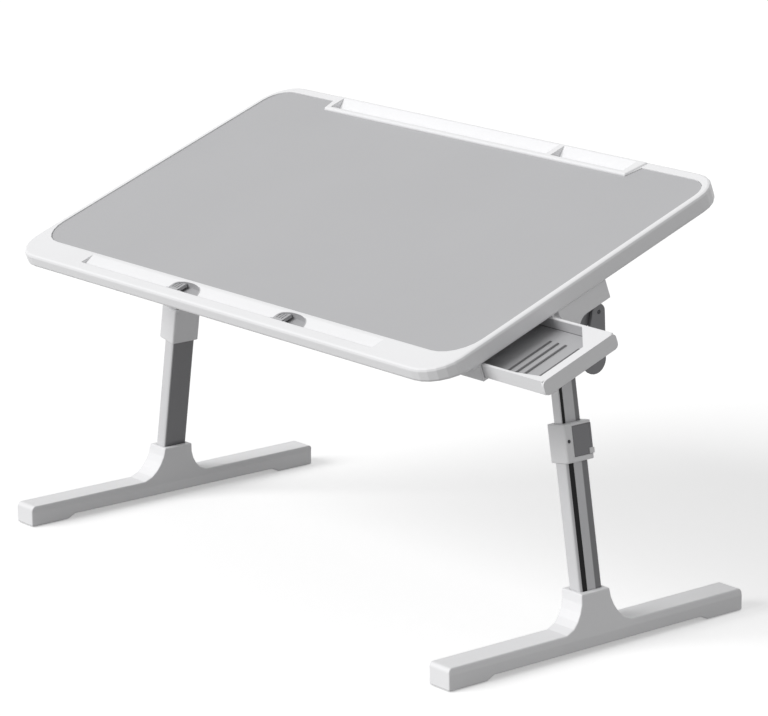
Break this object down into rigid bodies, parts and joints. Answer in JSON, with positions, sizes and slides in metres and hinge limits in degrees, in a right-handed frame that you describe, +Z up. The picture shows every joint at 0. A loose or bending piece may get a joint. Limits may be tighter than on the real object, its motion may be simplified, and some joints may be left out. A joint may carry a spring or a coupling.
{
  "type": "laptop bed table",
  "caption": "Lap desk with a tilting mat-covered top, a tablet slot, a side drawer and folding telescopic legs on long feet.",
  "frame": {"origin": "middle of the underside of the whole table, with the drawer out", "axes": "+X to the side with the drawer, +Y from the user's edge to the back bar, +Z up"},
  "size_m": [0.6822, 0.3294, 0.3765],
  "materials": {
    "white_plastic": "fine satin",
    "grey_leather": "fine pebble grain",
    "core_board": "raw fibreboard",
    "dark_grey_plastic": "satin",
    "steel": "plain zinc-plated",
    "aluminium": "anodised",
    "grey_rubber": "matt"
  },
  "bodies": {
    "tabletop": {"top_frame": "white_plastic", "desk_mat": "grey_leather", "core_board": "core_board", "bottom_cover": "white_plastic", "drawer_rail": "white_plastic", "rail_screw_front": "steel", "rail_screw_middle": "steel", "rail_screw_back": "steel", "stop_pin_left": "steel", "stop_pin_right": "steel", "bracket_left": "white_plastic", "fold_pin_left": "steel", "bracket_screw_left_front": "steel", "bracket_screw_left_back": "steel", "bracket_right": "white_plastic", "fold_pin_right": "steel", "bracket_screw_right_front": "steel", "bracket_screw_right_back": "steel"},
    "drawer": {"drawer_tray": "white_plastic"},
    "stop_left": {"stop_tab_left": "white_plastic"},
    "fold_left": {"fold_block_left": "dark_grey_plastic", "tilt_pin_left": "steel", "block_screw_left": "steel"},
    "lever_left": {"tilt_lever_left": "dark_grey_plastic", "lever_shaft_left": "steel", "tilt_pawl_left": "steel"},
    "leg_left": {"leg_head_left": "white_plastic", "ratchet_sector_left": "steel", "upper_tube_left": "aluminium", "tube_plug_left": "dark_grey_plastic"},
    "lower_left": {"lower_tube_left": "aluminium", "clamp_collar_left": "white_plastic", "clamp_pin_left": "steel", "clamp_screw_left": "steel", "foot_left": "white_plastic", "foot_pad_left_front": "grey_rubber", "foot_pad_left_back": "grey_rubber"},
    "clamp_left": {"clamp_lever_left": "dark_grey_plastic"},
    "stop_right": {"stop_tab_right": "white_plastic"},
    "fold_right": {"fold_block_right": "dark_grey_plastic", "tilt_pin_right": "steel", "block_screw_right": "steel"},
    "lever_right": {"tilt_lever_right": "dark_grey_plastic", "lever_shaft_right": "steel", "tilt_pawl_right": "steel"},
    "leg_right": {"leg_head_right": "white_plastic", "ratchet_sector_right": "steel", "upper_tube_right": "aluminium", "tube_plug_right": "dark_grey_plastic"},
    "lower_right": {"lower_tube_right": "aluminium", "clamp_collar_right": "white_plastic", "clamp_pin_right": "steel", "clamp_screw_right": "steel", "foot_right": "white_plastic", "foot_pad_right_front": "grey_rubber", "foot_pad_right_back": "grey_rubber"},
    "clamp_right": {"clamp_lever_right": "dark_grey_plastic"}
  },
  "joints": [
    {"name": "drawer_slide", "type": "slide", "parent": "tabletop", "child": "drawer", "axis": [1, 0, 0], "range_m": [-0.071, 0.01]},
    {"name": "stop_hinge_left", "type": "hinge", "parent": "tabletop", "child": "stop_left", "pos_m": [-0.10588, -0.15064, 0.26289], "axis": [1, 0, 0], "range_deg": [0, 90]},
    {"name": "fold_hinge_left", "type": "hinge", "parent": "tabletop", "child": "fold_left", "pos_m": [-0.28186, -0.00452, 0.28561], "axis": [0, -0.9388, -0.3445], "range_deg": [0, 98]},
    {"name": "tilt_hinge_left", "type": "hinge", "parent": "fold_left", "child": "leg_left", "pos_m": [-0.28529, 0.00237, 0.26683], "axis": [1, 0, 0], "range_deg": [-16, 20.15]},
    {"name": "tilt_lock_left", "type": "hinge", "parent": "fold_left", "child": "lever_left", "pos_m": [-0.28186, 0.01518, 0.28272], "axis": [1, 0, 0], "range_deg": [0, 8], "stiffness_Nm_per_rad": 0.1},
    {"name": "height_slide_left", "type": "slide", "parent": "leg_left", "child": "lower_left", "axis": [0.169, 0, 0.9856], "range_m": [-0.025, 0.043]},
    {"name": "clamp_hinge_left", "type": "hinge", "parent": "lower_left", "child": "clamp_left", "pos_m": [-0.30944, 0.01517, 0.1893], "axis": [-0.169, 0, -0.9856], "range_deg": [0, 112]},
    {"name": "stop_hinge_right", "type": "hinge", "parent": "tabletop", "child": "stop_right", "pos_m": [0.04214, -0.15064, 0.26289], "axis": [1, 0, 0], "range_deg": [0, 90]},
    {"name": "fold_hinge_right", "type": "hinge", "parent": "tabletop", "child": "fold_right", "pos_m": [0.22214, -0.00452, 0.28561], "axis": [0, 0.9388, 0.3445], "range_deg": [0, 98]},
    {"name": "tilt_hinge_right", "type": "hinge", "parent": "fold_right", "child": "leg_right", "pos_m": [0.22557, 0.00237, 0.26683], "axis": [1, 0, 0], "range_deg": [-16, 20.15]},
    {"name": "tilt_lock_right", "type": "hinge", "parent": "fold_right", "child": "lever_right", "pos_m": [0.22214, 0.01518, 0.28272], "axis": [1, 0, 0], "range_deg": [0, 8], "stiffness_Nm_per_rad": 0.1},
    {"name": "height_slide_right", "type": "slide", "parent": "leg_right", "child": "lower_right", "axis": [-0.169, 0, 0.9856], "range_m": [-0.025, 0.043]},
    {"name": "clamp_hinge_right", "type": "hinge", "parent": "lower_right", "child": "clamp_right", "pos_m": [0.24972, 0.01517, 0.1893], "axis": [-0.169, 0, 0.9856], "range_deg": [0, 112]}
  ],
  "couplings": [
    {"joint": "tilt_hinge_left", "follows": "tilt_hinge_right", "ratio": 1}
  ]
}
